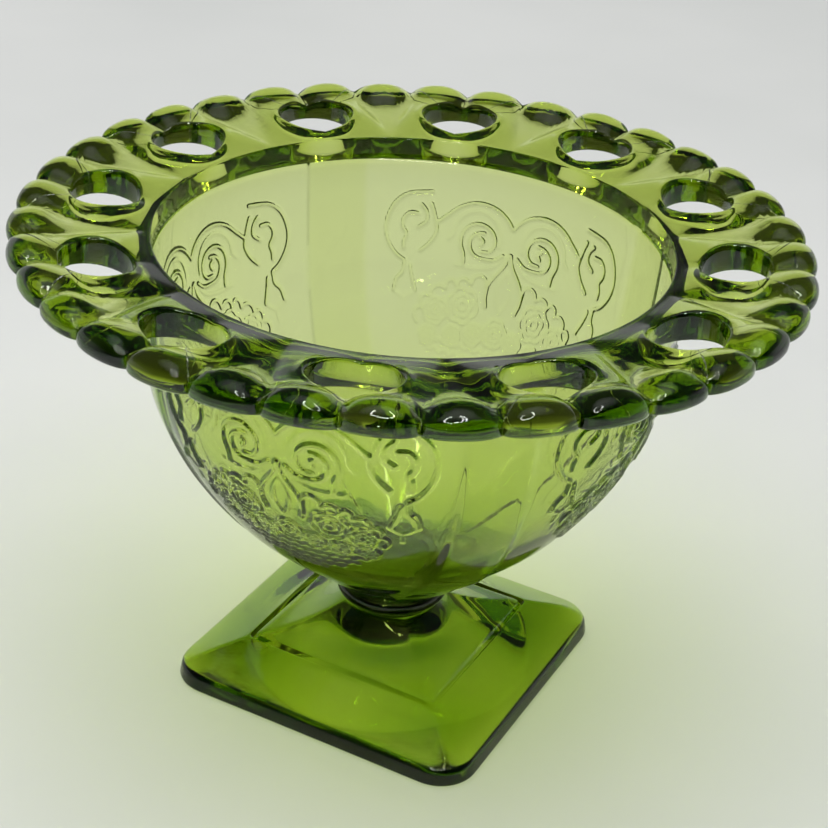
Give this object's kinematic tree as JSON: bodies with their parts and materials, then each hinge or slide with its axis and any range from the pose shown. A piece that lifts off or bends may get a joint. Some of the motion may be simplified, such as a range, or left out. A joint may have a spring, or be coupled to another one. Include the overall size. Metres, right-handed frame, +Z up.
{
  "type": "footed glass dish",
  "caption": "Footed dish of clear green pressed glass: a round bowl with relief panels on a square stepped foot, under a wide openwork rim with scalloped edge.",
  "frame": {"origin": "middle of the flat face the foot stands on, on the bowl's axis", "axes": "+Z up the axis; the sides of the square foot run along X and Y"},
  "size_m": [0.1856, 0.1856, 0.125],
  "materials": {
    "green_glass": "fire-polished clear olive-green pressed glass, darker where it is thick"
  },
  "bodies": {
    "root": {"foot": "green_glass", "neck": "green_glass", "bowl": "green_glass", "lace_rim": "green_glass"}
  },
  "joints": []
}
